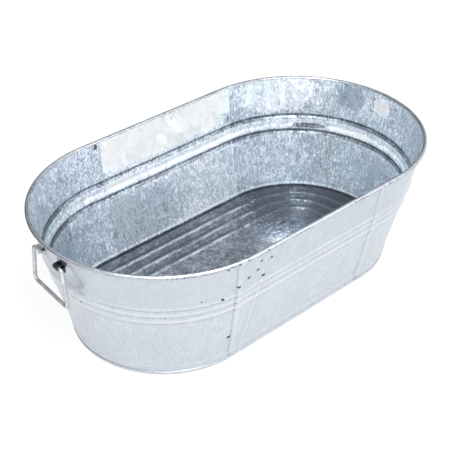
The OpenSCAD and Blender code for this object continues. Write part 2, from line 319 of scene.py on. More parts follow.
class Finish(Nodes):
    """A node material while it is put together."""

    def __init__(self, name):
        self.material = bpy.data.materials.new(name)
        self.material.use_nodes = True
        super().__init__(self.material.node_tree)
        self.place = self.add("ShaderNodeTexCoord").outputs["Object"]

    def stretched(self, x, y, z):
        """The place with each axis divided by a length."""
        return self.vector("MULTIPLY", self.place, (1 / x, 1 / y, 1 / z))

    def reach(self):
        """The level distance from the tub's centre line."""
        spot = self.add("ShaderNodeSeparateXYZ", {0: self.place}).outputs
        past_end = self.math("SUBTRACT", self.math("ABSOLUTE", spot["X"]), HALF_STRAIGHT)
        level = {"X": self.math("MAXIMUM", past_end, 0.0), "Y": spot["Y"]}
        return self.length(self.add("ShaderNodeCombineXYZ", level).outputs[0])

    def noise(self, place, detail=3.0, rough=0.5, distortion=0.0):
        inputs = {"Vector": place, "Scale": 1.0, "Detail": detail, "Roughness": rough}
        inputs["Distortion"] = distortion
        return self.add("ShaderNodeTexNoise", inputs).outputs["Fac"]

    def done(self, shader):
        self.add("ShaderNodeOutputMaterial", {"Surface": shader})
        return self.material


# Colour below a tone of 0: real grime for the flux marks, painted shade for most other dark marks.
GRIME_AND_SHADE = (0.07, 0.08, 0.095)
GLARE = (0.74, 0.738, 0.732)
SEAM_DISTANCE = "seam_distance"               # the mesh attribute that by_seam reads


class ZincTone:
    """The zinc's tone: 0 is its dark colour and 1 its light one. Below 0 it turns to grime and
    painted shade, and above 1 to painted glare."""

    def __init__(self, finish, start, least):
        self.f = finish
        self.value = start
        self.ragged = finish.noise(finish.stretched(0.006, 0.006, 0.006), 3.0, 0.6)
        patches = finish.noise(finish.stretched(0.05, 0.05, 0.01), 3.0, 0.6)
        self.patchy = finish.remap(patches, 0.3, 0.6, least, 1.0)

    def add(self, mask, amount):
        self.value = self.f.math("ADD", self.value, self.f.math("MULTIPLY", mask, amount))

    def bands(self, place, bands):
        """Adds a tone where place is within half of middle, for each (middle, half, tone)."""
        for middle, half, amount in bands:
            away = self.f.math("ABSOLUTE", self.f.math("SUBTRACT", place, middle))
            self.add(self.f.math("MULTIPLY", self.f.remap(away, half, 0.6 * half), self.patchy), amount)

    def patches(self, patches):
        """Adds a tone inside a ragged ellipsoid, for each (centre, radii, tone)."""
        for centre, radii, amount in patches:
            offset = self.f.vector("SUBTRACT", self.f.place, centre)
            away = self.f.length(self.f.vector("DIVIDE", offset, radii))
            away = self.f.math("ADD", away, self.f.math("MULTIPLY", self.ragged, 1.1))
            self.add(self.f.remap(away, 1.55, 1.25), amount)


def galvanised(
    name, light, dark, cell, tilt, rough, contrast, bump, flakes, flecks, metal=1.0, start=0.5,
    by_height=(), by_reach=(), by_seam=(), patches=(), least=0.65, hues=0.7,
):
    """Hot-dipped zinc: crystals that each catch the light a little differently, runs down
    the wall, feathery flakes, short upright flecks, cloudy patches and fine grain. Four
    lists hold marks that are lighter or darker: bands by height, by distance from the tub's
    centre line and by distance from the nearest seam, and patches at a place. Most are
    painted highlights and painted shade; the flux marks are real grime. least is the
    strength of the bands where they are faintest."""
    f = Finish(name)
    wander = {"Vector": f.stretched(cell, cell, cell), "Scale": 0.9, "Detail": 2.0}
    wander = f.add("ShaderNodeTexNoise", wander).outputs["Color"]
    shift = f.vector("MULTIPLY", wander, (0.9, 0.9, 0.9))
    warped = f.vector("ADD", f.stretched(cell, cell, 1.7 * cell), shift)
    crystal = f.add("ShaderNodeTexVoronoi", {"Vector": warped, "Scale": 1.0})
    tint = f.add("ShaderNodeSeparateColor", {"Color": crystal.outputs["Color"]})
    flake = f.noise(f.stretched(0.4 * cell, 0.4 * cell, 0.7 * cell), 3.0, 0.6, 0.8)
    runs = f.noise(f.stretched(0.02, 0.02, 0.25), 4.0, 0.6)
    clouds = f.noise(f.stretched(0.12, 0.12, 0.09), 3.0, 0.55)
    grain = f.noise(f.stretched(0.0011, 0.0011, 0.0011), 2.0, 0.6)
    feather = f.noise(f.stretched(1.3 * cell, 1.3 * cell, 2.6 * cell), 4.0, 0.65, 2.4)
    stroke = f.noise(f.stretched(0.0026, 0.0026, 0.0085), 2.0, 0.55, 1.6)

    mottle = f.math("MULTIPLY", f.math("SUBTRACT", tint.outputs[0], 0.5), 0.30)
    for part, share in ((flake, 1.7), (runs, 0.7), (clouds, 0.8), (grain, 0.5)):
        mottle = f.math("ADD", mottle, f.math("MULTIPLY", f.math("SUBTRACT", part, 0.5), share))
    tone = ZincTone(f, f.math("ADD", f.math("MULTIPLY", mottle, contrast), start), least)
    tone.add(f.remap(feather, 0.58, 0.66), flakes)
    tone.add(f.remap(feather, 0.38, 0.30), -flakes)
    crowd = f.remap(clouds, 0.35, 0.60, 0.65, 1.0)
    tone.add(f.math("MULTIPLY", f.remap(stroke, 0.34, 0.66, -1.0, 1.0), crowd), flecks)
    tone.bands(f.add("ShaderNodeSeparateXYZ", {0: f.place}).outputs["Z"], by_height)
    tone.bands(f.reach(), by_reach)
    tone.bands(f.add("ShaderNodeAttribute", attribute_name=SEAM_DISTANCE).outputs["Fac"], by_seam)
    tone.patches(patches)

    hue = f.noise(f.stretched(0.05, 0.05, 0.06), 2.0, 0.5)
    colour = f.mix(f.remap(tone.value, 0.0, 1.0), dark, light)
    cast = f.mix(f.remap(hue, 0.35, 0.65), (0.94, 1.0, 1.0), (1.0, 0.98, 1.02))
    colour = f.mix(hues, colour, cast, "MULTIPLY")
    # Painted glare above a tone of 1, and grime and painted shade below 0.
    colour = f.mix(f.remap(tone.value, 1.0, 1.6), colour, GLARE)
    colour = f.mix(f.remap(tone.value, -0.3, -1.4), colour, GRIME_AND_SHADE)

    roughness = f.math("ADD", f.math("MULTIPLY", tint.outputs[1], 0.16), rough)
    roughness = f.math("ADD", roughness, f.math("MULTIPLY", f.math("SUBTRACT", flake, 0.5), 0.2))
    roughness = f.math("ADD", roughness, f.remap(tone.value, -0.3, -1.4, 0.0, 0.25))

    lean = f.vector("SUBTRACT", crystal.outputs["Color"], (0.5, 0.5, 0.5))
    lean = f.add("ShaderNodeVectorMath", {0: lean, "Scale": tilt}, operation="SCALE").outputs[0]
    relief = f.math("ADD", f.math("MULTIPLY", flake, 0.35), f.math("MULTIPLY", grain, 0.12))
    relief = f.math("ADD", relief, f.math("MULTIPLY", runs, 0.9))
    face = f.add("ShaderNodeBump", {"Strength": bump, "Distance": 0.35 * MM, "Height": relief}).outputs[0]
    face = f.vector("NORMALIZE", f.vector("ADD", face, lean))

    inputs = {"Base Color": colour, "Metallic": metal, "Roughness": roughness, "Normal": face}
    return f.done(f.add("ShaderNodeBsdfPrincipled", inputs).outputs[0])


def plain_metal(name, light, dark, rough, patch, bump, metal=1.0, grazing=0.0):
    """Wire, strap or rivet metal: patchy tarnish, rubbed bright where edges stand out. patch
    is the tarnish's size. grazing is how much painted shade darkens the metal where it turns away."""
    f = Finish(name)
    patches = f.noise(f.stretched(patch, patch, patch), 5.0, 0.65)
    scratches = f.noise(f.stretched(0.0012, 0.0012, 0.02), 3.0, 0.6)
    colour = f.mix(f.remap(patches, 0.3, 0.7), dark, light)
    edge = f.remap(f.add("ShaderNodeNewGeometry").outputs["Pointiness"], 0.5, 0.6)
    colour = f.mix(f.math("MULTIPLY", edge, 0.6), colour, tuple(min(1.0, 1.25 * c) for c in light))
    turned_away = f.remap(f.add("ShaderNodeLayerWeight").outputs["Facing"], 0.45, 0.85)
    # Painted shade where the surface turns away from the eye.
    colour = f.mix(f.math("MULTIPLY", turned_away, grazing), colour, tuple(0.45 * c for c in dark))
    roughness = f.math("ADD", f.math("MULTIPLY", patches, 0.25), rough)
    height = f.math("ADD", f.math("MULTIPLY", patches, 0.6), f.math("MULTIPLY", scratches, 0.4))
    face = f.add("ShaderNodeBump", {"Strength": bump, "Distance": 0.3 * MM, "Height": height}).outputs[0]
    inputs = {"Base Color": colour, "Metallic": metal, "Roughness": roughness, "Normal": face}
    return f.done(f.add("ShaderNodeBsdfPrincipled", inputs).outputs[0])


def spatter(places):
    """Grimy flux marks, from (x, y, z, radius) in millimetres."""
    return tuple(
        ((x * MM, y * MM, z * MM), (1.3 * radius * MM, radius * MM, radius * MM), -2.2)
        for x, y, z, radius in places
    )


# A helper script worked these places out from where the photo shows the marks. Some of the
# patches' centres on the inside were found the same way, then rounded or moved a little.
FLUX_MARKS = spatter((
    (-159, -175, 155, 3.2), (-155, -150, 52, 3.0), (-143, -177, 162, 2.8), (-128, -179, 168, 2.4),
    (-115, -175, 151, 3.0), (-124, -182, 182, 2.2), (-105, -181, 179, 2.0), (-182, -168, 141, 2.4),
    (-210, -159, 147, 1.6), (-181, -179, 194, 1.8), (-305, -24, 120, 1.8),
))
# Painted shade under each ridge and a painted highlight above it, painted shade under the rolled rim and at
# the hem's top edge, and the upper wall a little darker.
OUTSIDE_LIGHT_AND_SHADE_BANDS = tuple(
    mark for height, _, _ in RIDGES
    for mark in ((height - 3 * MM, 1.8 * MM, -0.9), (height + 2 * MM, 1.8 * MM, 0.5))
) + (
    (RIM_TOP - 3.4 * MM, 2.8 * MM, -0.9), (HEM_TOP + 1 * MM, 1.4 * MM, -0.8), (172 * MM, 44 * MM, -0.3),
)
OUTSIDE_ZINC = galvanised(
    "wall_zinc_outside", light=(0.645, 0.685, 0.73), dark=(0.525, 0.565, 0.615),
    cell=6 * MM, tilt=0.03, rough=0.30, contrast=0.6, bump=0.25, flakes=0.2, flecks=0.3, hues=0.2,
    by_height=OUTSIDE_LIGHT_AND_SHADE_BANDS,
    # A thin line of painted shade on the inner side of the rolled rim.
    by_reach=((RIM_RADIUS - 4.4 * MM, 1.3 * MM, -1.1),),
    # Painted shade beside each seam strip, and a painted highlight on the strip.
    by_seam=((5.8 * MM, 1.4 * MM, -0.45), (0.0, 4.0 * MM, 0.25)),
    patches=FLUX_MARKS,
)
# Painted shade in the band's two grooves and a painted highlight between them, painted shade in the crease
# above the floor with a painted highlight just above it, and the wall a little darker low down.
INSIDE_LIGHT_AND_SHADE_BANDS = (
    (RIDGES[0][0], 5.2 * MM, -1.5), (RIDGES[2][0], 5.2 * MM, -1.5), (RIDGES[1][0], 9 * MM, 0.5),
    (FLOOR_TOP + 0.5 * MM, 2.5 * MM, -1.8), (FLOOR_TOP + 5 * MM, 2.5 * MM, 0.8), (50 * MM, 68 * MM, -0.3),
)
# A painted highlight and a line of painted shade at the step along each seam.
INSIDE_SEAM_LIGHT_AND_SHADE = ((5.0 * MM, 1.2 * MM, 0.5), (3.2 * MM, 1.0 * MM, -0.4))
INSIDE_END_ZINC = galvanised(
    "wall_zinc_inside_end", light=(0.86, 0.91, 0.96), dark=(0.34, 0.40, 0.46),
    cell=7.5 * MM, tilt=0.10, rough=0.27, contrast=0.8, bump=0.45,
    metal=0.65, flakes=0.55, flecks=0.65, start=0.36,
    by_height=INSIDE_LIGHT_AND_SHADE_BANDS, by_seam=INSIDE_SEAM_LIGHT_AND_SHADE,
    patches=(
        ((0.270, 0.106, 0.123), (0.032, 0.036, 0.0045), -1.9),      # painted dark reflection, a streak in the band
        ((0.303, 0.040, 0.122), (0.030, 0.045, 0.0080), 0.9),       # painted highlight beside it
        ((0.312, 0.052, 0.182), (0.022, 0.034, 0.0240), -0.55),     # darker blue-grey patch under the rim
        ((0.321, -0.010, 0.182), (0.016, 0.017, 0.0170), 1.5),      # splash of fresh zinc
        ((0.235, 0.150, 0.180), (0.085, 0.070, 0.0400), 0.55),      # painted light on the sheet by the seam
        ((0.220, 0.140, 0.065), (0.085, 0.070, 0.0500), 0.22),      # and below the band
        # painted light low near the back seam
        ((0.155, 0.150, 0.060), (0.035, 0.050, 0.0600), 0.18),
        ((-0.270, 0.070, 0.100), (0.150, 0.130, 0.1200), -0.52),    # painted shade over the left end
        ((-0.118, 0.186, 0.197), (0.004, 0.006, 0.0050), -2.5),     # small dark spot at the seam's top
    ),
)
INSIDE_SIDE_ZINC = galvanised(
    "wall_zinc_inside_side", light=(0.90, 0.935, 0.97), dark=(0.42, 0.475, 0.53),
    cell=7.5 * MM, tilt=0.09, rough=0.28, contrast=0.7, bump=0.4,
    metal=0.60, flakes=0.60, flecks=0.62, start=0.48,
    by_height=INSIDE_LIGHT_AND_SHADE_BANDS, by_seam=INSIDE_SEAM_LIGHT_AND_SHADE,
    patches=(
        ((0.015, 0.184, 0.182), (0.200, 0.060, 0.0400), 1.55),      # painted light on the back wall above the band
        ((0.146, 0.178, 0.168), (0.016, 0.030, 0.0240), -1.1),      # darker leaf-shaped patch
        ((-0.110, 0.155, 0.060), (0.160, 0.060, 0.0650), -0.65),    # painted shade low on the left
    ),
)
# A painted highlight on each rib's crest and painted shade in the hollow outside it.
FLOOR_RIB_LIGHT_AND_SHADE = tuple(
    mark for rib in RIB_RADII
    for mark in ((rib - 1 * MM, 2.6 * MM, 0.40), (rib + 7 * MM, 4 * MM, -0.30))
)
CREST_GLINTS = tuple(                         # painted highlights on the crests at the right end, towards the back
    (
        (HALF_STRAIGHT + rib * math.cos(turn), rib * math.sin(turn), FLOOR_TOP + RIB_HEIGHT),
        (9 * MM, 9 * MM, 9 * MM), 0.85 * rib / RIB_RADII[1],
    )
    for rib in RIB_RADII for turn in (math.radians(31), math.radians(39), math.radians(47))
)
SHADED_FLOOR_END = ((0.250, 0.040, 0.019), (0.150, 0.150, 0.050), -1.4)     # painted shade over the right end
FLOOR_ZINC = galvanised(
    "floor_zinc", light=(0.66, 0.71, 0.76), dark=(0.12, 0.135, 0.16),
    cell=10 * MM, tilt=0.05, rough=0.30, contrast=0.6, bump=0.4,
    flakes=0.25, flecks=0.15, start=0.24, least=0.1, hues=0.3,
    # Lighter towards the middle, and painted shade in the crease where the floor bends up into the wall.
    by_reach=FLOOR_RIB_LIGHT_AND_SHADE + ((0.0, 78 * MM, 0.14), (141 * MM, 4.5 * MM, -2.4)),
    patches=(SHADED_FLOOR_END,) + CREST_GLINTS,
)
WIRE_STEEL = plain_metal(
    "handle_wire", (0.68, 0.685, 0.69), (0.40, 0.41, 0.425), 0.24, 0.012, 0.25, metal=0.75, grazing=0.9,
)
STRAP_STEEL = plain_metal("ear_strap", (0.10, 0.105, 0.115), (0.02, 0.02, 0.024), 0.38, 0.008, 0.4)
# A pale copy of the ear strap, as painted glare for the ear that catches the light.
GLARE_STRAP = plain_metal(
    "ear_strap_painted_glare", (0.82, 0.83, 0.85), (0.50, 0.51, 0.53), 0.34, 0.008, 0.4, metal=0.6,
)
RIVET_ZINC = plain_metal("rivet_zinc", (0.62, 0.64, 0.67), (0.30, 0.31, 0.33), 0.3, 0.004, 0.3)


# --------------------------------------------------------------------------------------
# Wall sheets
# --------------------------------------------------------------------------------------

def wall_pairs():
    """(outer, inner) points of the sheet, each (radius, height), up the wall and round the roll."""
    heights = [HEM_FOLD]
    heights += spread(HEM_FOLD, FOOT_STEP_LOW, 5 * MM)[1:]
    heights += spread(FOOT_STEP_LOW, FOOT_STEP_HIGH, 0.5 * MM)[1:]
    heights += spread(FOOT_STEP_HIGH, PLAIN_HIGH, COARSE)[1:]
    band_top = RIDGES[-1][0] + RIDGES[-1][2]
    heights += spread(PLAIN_HIGH, band_top, FINE)[1:]
    heights += spread(band_top, TANGENT_HEIGHT - SHEET, COARSE)[1:]
    pairs = [((wall_radius(z), z), (wall_radius(z) - LEVEL_SHEET, z)) for z in heights]
    for turned in spread(0.0, ROLL_WRAP, math.radians(10)):
        angle = math.pi - UPPER_DRAFT - turned
        arm = Vector((math.cos(angle), math.sin(angle)))
        pairs.append((tuple(ROLL_CENTRE + ROLL_BORE * arm), tuple(ROLL_CENTRE + ROLL_RADIUS * arm)))
    return pairs


def between_ends(at_ground, at_rim, z):
    """A length that changes evenly from the ground to the rim."""
    return at_ground + (at_rim - at_ground) * z / RIM_TOP


def round_seam(z):
    """s of the seam that lies a little way into an end curve."""
    past = between_ends(2 * MM, 23 * MM, z)
    return QUARTER - PLAN_RADIUS * math.asin(past / plain_radius(z))


def short_seam(z):
    """s, back from the left end's middle, of the seam that lies short of an end curve."""
    return -QUARTER - between_ends(14 * MM, 24.5 * MM, z)


def sheet_columns(first, last):
    """Functions of z that give s along a sheet between two seam lines, edge to edge. The
    columns lie closer together near the sheet's edges."""
    mid = RIM_TOP / 2
    near = [0.0, 0.5 * MM, 1.2 * MM, 2.4 * MM, 4.5 * MM, 8 * MM, 9 * MM, 9.8 * MM, 12 * MM]
    length = last(mid) - first(mid)
    places = near + spread(near[-1], length - near[-1], COLUMN)[1:-1] + [length - n for n in reversed(near)]

    def column(place):
        share = place / length
        return lambda z: (first(z) + place) * (1 - share) + (last(z) - length + place) * share

    return [column(place) for place in places]


def sheet_rings(first, last, pad):
    """One ring of points per column of a wall sheet. pad moves the sheet into the tub at a seam."""
    pairs = wall_pairs()
    rings = []
    for column in sheet_columns(first, last):
        points = []
        for outer, inner in pairs:
            s = column(min(outer[1], RIM_TOP))
            step = pad(s, outer[1])
            points.append((on_oval(s, outer[0] - step, outer[1]), on_oval(s, inner[0] - step, inner[1])))
        rings.append(ring_of(points))
    return rings


def end_pad(turn):
    """How far an end sheet stands into the tub beneath its two seams."""
    def pad(s, z):
        toward_round = s - turn - round_seam(z)
        toward_short = short_seam(z) - (s - turn)
        reach = max(toward_round, toward_short)
        level = smooth(reach, -SEAM_HALF - 0.9 * MM, -SEAM_HALF + 0.2 * MM)
        return SEAM_PAD * level * (1 - smooth(z, SEAM_HIGH - 4 * MM, SEAM_HIGH + 4 * MM))
    return pad


def seam_rings(line, turn, toward):
    """A lock seam's folded strip, from the foot to the rim, on the wall's outer face."""
    section = (
        (-1.25, -0.15), (-1.16, 0.15), (-1.05, 0.5), (-0.9, 0.72), (-0.7, 0.8), (0.0, 0.82),
        (0.75, 0.8), (0.95, 0.72), (1.1, 0.5), (1.22, 0.15), (1.32, -0.15),
    )
    rings = []
    for z in spread(SEAM_LOW, SEAM_HIGH, 0.9 * MM):
        from_end = min(max(min(z - SEAM_LOW, SEAM_HIGH - z) / (2.5 * MM), 0.0), 1.0)
        rise = SEAM_PROUD * (0.15 + 0.85 * math.sqrt(1 - (1 - from_end) ** 2))
        rise *= 1 + 0.07 * noise.noise(Vector((turn, toward, z)) / 0.011)
        sway = 0.25 * MM * noise.noise(Vector((z, turn, toward)) / 0.03)
        ring = []
        for across, up in section:
            s = turn + line(z) + toward * across * SEAM_HALF + sway
            out = wall_radius(z) + up * rise
            ring.append(on_oval(s, out, z))
        rings.append(ring)
    return rings


def seam_distance(x, y, z):
    """Distance along the wall from a point to the middle of the nearest lock seam."""
    s = along_wall(x, y)
    gaps = [s - turn - line(z) for line in (round_seam, short_seam) for turn in (0.0, HALF_WAY)]
    return min(abs((gap + HALF_WAY) % PERIMETER - HALF_WAY) for gap in gaps)


def measure_seam_distances(piece):
    """Stores each vertex's distance from the nearest seam, which the zinc reads."""
    distances = piece.data.attributes.new(SEAM_DISTANCE, "FLOAT", "POINT")
    distances.data.foreach_set("value", [seam_distance(*vertex.co) for vertex in piece.data.vertices])


def wall_sheet(name, node, first, last, pad, seams, inside):
    """One sheet of the wall between two seam lines, with the folded strips of its seams."""
    bm = bmesh.new()
    sweep_rings(bm, sheet_rings(first, last, pad))
    for line, turn, toward in seams:
        solid_sweep(bm, seam_rings(line, turn, toward))
    sheet = finish_mesh(name, bm, "tub", [node], OUTSIDE_ZINC)
    sheet.data.materials.append(inside)
    measure_seam_distances(sheet)
    for face in sheet.data.polygons:
        x, y, z = face.center
        outward = Vector((x - min(max(x, -HALF_STRAIGHT), HALF_STRAIGHT), y, 0))
        if z < RIM_TOP - 2 * ROLL_RADIUS and face.normal.dot(outward) < 0:
            face.material_index = 1
    return sheet


def no_pad(s, z):
    return 0.0


for side, turn in (("left", 0.0), ("right", HALF_WAY)):
    wall_sheet(
        side + "_end_sheet", "end_panel_" + side,
        lambda z, turn=turn: turn + short_seam(z) - SEAM_HALF,
        lambda z, turn=turn: turn + round_seam(z) + SEAM_HALF,
        end_pad(turn), [], INSIDE_END_ZINC,
    )
for side, turn in (("front", 0.0), ("back", HALF_WAY)):
    wall_sheet(
        side + "_side_sheet", "side_panel_" + side,
        lambda z, turn=turn: turn + round_seam(z) + SEAM_HALF + EDGE_GAP,
        lambda z, turn=turn: turn + HALF_WAY + short_seam(z) - SEAM_HALF - EDGE_GAP,
        no_pad,
        [(round_seam, turn, 1), (short_seam, turn + HALF_WAY, -1)], INSIDE_SIDE_ZINC,
    )


# --------------------------------------------------------------------------------------
# Rim wire and floor
# --------------------------------------------------------------------------------------

AROUND = spread(0.0, PERIMETER, COLUMN)[:-1]


def rim_core_wire():
    """The round wire inside the rolled rim."""
    section = []
    for turn in (math.tau * i / 16 for i in range(16)):
        section.append(ROLL_CENTRE + RIM_WIRE_RADIUS * Vector((math.cos(turn), math.sin(turn))))
    bm = bmesh.new()
    sweep_rings(bm, [[on_oval(s, point.x, point.y) for point in section] for s in AROUND], closed=True)
    finish_mesh("rim_core_wire", bm, "tub", ["rim_wire"], WIRE_STEEL)


def floor_pairs():
    """(upper, lower) points of the floor sheet from the centre line to the hem's edge."""
    radii = spread(0.0, RIB_RADII[0] - RIB_HALF, 10 * MM)
    for rib, after in zip(RIB_RADII, RIB_RADII[1:] + (None,)):
        radii += spread(rib - RIB_HALF, rib + RIB_HALF, FINE)[1:]
        if after:
            radii += spread(rib + RIB_HALF, after - RIB_HALF, COARSE)[1:]
    bend_height = FLOOR_TOP - FLOOR_BEND
    flange = -LEVEL_SHEET - AIR                  # the flange lies inside the wall
    bend_radius = wall_radius(bend_height) + flange - FLOOR_BEND
    radii += spread(RIB_RADII[-1] + RIB_HALF, bend_radius, 5 * MM)[1:]
    pairs = [((r, floor_height(r)), (r, floor_height(r) - SHEET)) for r in radii]
    for angle in spread(math.pi / 2, math.pi, math.pi / 12)[1:]:
        arm = Vector((-math.cos(angle), math.sin(angle)))
        centre = Vector((bend_radius, bend_height))
        pairs.append((tuple(centre + FLOOR_BEND * arm), tuple(centre + (FLOOR_BEND - SHEET) * arm)))
    for z in reversed(spread(HEM_FOLD, bend_height, 2 * MM)[:-1]):
        inner = wall_radius(z) + flange
        pairs.append(((inner, z), (inner - LEVEL_SHEET, z)))
    middle = wall_radius(HEM_FOLD) - LEVEL_SHEET / 2
    for angle in spread(math.pi, math.tau, math.pi / 8)[1:-1]:
        arm = Vector((math.cos(angle), math.sin(angle)))
        centre = Vector((middle, HEM_FOLD))
        pairs.append((tuple(centre + (HEM_FOLD - SHEET) * arm), tuple(centre + HEM_FOLD * arm)))
    for z in spread(HEM_FOLD, HEM_TOP - 0.3 * MM, 2 * MM):
        pairs.append(((wall_radius(z) + AIR, z), (wall_radius(z) + AIR + LEVEL_SHEET, z)))
    pairs.append(((wall_radius(HEM_TOP) + AIR, HEM_TOP), (wall_radius(HEM_TOP) + LEVEL_SHEET / 2, HEM_TOP)))
    return pairs


def floor_sag(x, y, r):
    """Soft hollows in the floor sheet, none near its bend."""
    p = Vector((x, y, 0))
    amount = 1.1 * MM * noise.noise(p / 0.11) + 0.35 * MM * noise.noise(p / 0.04 + Vector((3, 9, 1)))
    return amount * (1 - smooth(r, 105 * MM, 132 * MM))


def ribbed_floor():
    """The floor sheet. Its hem, which shows on the outside, looks like the wall."""
    pairs = floor_pairs()
    rings = []
    for s in AROUND:
        points = []
        for upper, lower in pairs:
            pair = [on_oval(s, r, z, bent=False) for r, z in (upper, lower)]
            for p in pair:
                p.z += floor_sag(p.x, p.y, upper[0]) if p.z > FOOT_STEP_LOW else 0.0
            points.append(pair)
        rings.append(ring_of(points))
    bm = bmesh.new()
    sweep_rings(bm, rings, closed=True, joined=False)
    sheet = finish_mesh("ribbed_floor", bm, "tub", ["floor_panel"], FLOOR_ZINC)
    sheet.data.materials.append(OUTSIDE_ZINC)
    for face in sheet.data.polygons:
        if face.center.z < HEM_TOP + 1 * MM:
            face.material_index = 1
    measure_seam_distances(sheet)


rim_core_wire()
ribbed_floor()


# --------------------------------------------------------------------------------------
# Handles
# --------------------------------------------------------------------------------------

WIRE_RADIUS = 2.75 * MM
GRIP_TOP = 76.5 * MM - 2 * WIRE_RADIUS       # between the legs' middles at the pivots
GRIP_BOTTOM = 92 * MM - 2 * WIRE_RADIUS      # between the legs' middles at the grip
GRIP_DROP = 60 * MM - WIRE_RADIUS
EAR_OFFSET = 25 * MM
EAR_WIDTH = 11 * MM
WIRE_END = EAR_OFFSET - EAR_WIDTH / 2 - 2 * MM
PIVOT_BEND = 4 * MM
GRIP_BEND = 7 * MM
WIRE_WEAR = 0.012                            # how much thinner than its full size the wire is


def rounded_path(corners, radii, step):
    """Points along a flat path with a bend of its own radius at each inner corner."""
    points = [corners[0]]
    for before, corner, after, radius in zip(corners, corners[1:], corners[2:], radii):
        along, on = (corner - before).normalized(), (after - corner).normalized()
        turn = along.angle(on)
        start = corner - along * radius * math.tan(turn / 2)
        side = (on - along * along.dot(on)).normalized()
        for angle in spread(0.0, turn, step / radius):
            points.append(start + along * radius * math.sin(angle) + side * radius * (1 - math.cos(angle)))
    return points + [corners[-1]]


def rounded_end(ring, middle, away):
    """Rings that round a wire's end over, going out from its last ring."""
    rings = []
    for share in (0.25, 0.6, 0.9):
        size = math.sqrt(1 - 0.12 * share - 0.35 * share ** 4)
        rings.append([middle + (p - middle) * size + away * 0.35 * MM * share for p in ring])
    return rings


def tube_rings(path, sideways, radius, seed):
    """Rings of a round wire along a path, its ends rounded over."""
    fine = [path[0]]
    for a, b in zip(path, path[1:]):
        shares = spread(0.0, 1.0, 2 * MM / max((b - a).length, MM / 10))
        fine += [a.lerp(b, share) for share in shares[1:]]
    turns = [math.tau * k / 20 for k in range(20)]
    rings = []
    for i, point in enumerate(fine):
        ahead = (fine[min(i + 1, len(fine) - 1)] - fine[max(i - 1, 0)]).normalized()
        across = ahead.cross(sideways).normalized()
        wear = WIRE_WEAR * (1 + noise.noise(point / 0.009 + Vector((seed, 0, 0))))
        size = radius * (1 - wear)
        rings.append([point + size * (math.cos(a) * sideways + math.sin(a) * across) for a in turns])
    head = rounded_end(rings[0], fine[0], (fine[0] - fine[1]).normalized())
    tail = rounded_end(rings[-1], fine[-1], (fine[-1] - fine[-2]).normalized())
    return head[::-1] + rings + tail


def handle(name, node, body, joint):
    """A bent wire that hangs straight down from its pivots, on one body."""
    pivot = Vector(joint["pos_m"])
    axis = Vector(joint["axis"])
    down = Vector((0, 0, -1))
    out = axis.cross(down)

    def at(a, drop):
        return pivot + a * axis + drop * down

    corners = [
        at(-WIRE_END, 0), at(-GRIP_TOP / 2, 0), at(-GRIP_BOTTOM / 2, GRIP_DROP),
        at(GRIP_BOTTOM / 2, GRIP_DROP), at(GRIP_TOP / 2, 0), at(WIRE_END, 0),
    ]
    path = rounded_path(corners, (PIVOT_BEND, GRIP_BEND, GRIP_BEND, PIVOT_BEND), 0.8 * MM)
    bm = bmesh.new()
    solid_sweep(bm, tube_rings(path, out, WIRE_RADIUS, pivot.x * 50))
    finish_mesh(name, bm, body, [node], WIRE_STEEL, sharp=60)


JOINTS = {joint["child"]: joint for joint in frame["joints"]}
handle("left_wire_handle", "handle_left", "left_bail", JOINTS["left_bail"])
handle("right_wire_handle", "handle_right", "right_bail", JOINTS["right_bail"])


# --------------------------------------------------------------------------------------
# Ears and rivets
# --------------------------------------------------------------------------------------

STRAP = 1.2 * MM
EYE_MIDDLE = WIRE_RADIUS + 0.03 * MM + STRAP / 2     # radius of the strap's middle round the wire
RIVET_UP = EYE_MIDDLE + STRAP / 2 + 6.5 * MM
TAB_TIP = 4 * MM
FILLET = 1.1 * MM


class EarPlace:
    """Local directions at one ear: along the pivot, out of the wall, and up the wall."""

    def __init__(self, joint):
        self.pivot = Vector(joint["pos_m"])
        self.axis = Vector(joint["axis"])
        end = Vector((math.copysign(HALF_STRAIGHT, self.pivot.x), 0, self.pivot.z))
        away = self.pivot - end
        across = away - away.dot(self.axis) * self.axis
        self.reach = across.length
        level = across.normalized()
        self.out = level * math.cos(UPPER_DRAFT) - Vector((0, 0, math.sin(UPPER_DRAFT)))
        self.up = level * math.sin(UPPER_DRAFT) + Vector((0, 0, math.cos(UPPER_DRAFT)))

    def stand(self, along):
        """Distance from the pivot's line to the wall's outer face."""
        wall = math.sqrt(plain_radius(self.pivot.z) ** 2 - along ** 2)
        return (self.reach - wall) * math.cos(UPPER_DRAFT)

    def point(self, along, out, up):
        return self.pivot + along * self.axis + out * self.out + up * self.up


def tab_half(up):
    """Half of a tab's width at a distance from the pivot, along the wall."""
    half = EAR_WIDTH / 2
    shoulder = EYE_MIDDLE + STRAP / 2 + 1 * MM
    if up < shoulder:
        return half
    if up < RIVET_UP:
        return half + (TAB_TIP - half) * smooth(up, shoulder, RIVET_UP)
    return max(math.sqrt(max(TAB_TIP ** 2 - (up - RIVET_UP) ** 2, 0.0)), 0.05 * MM)


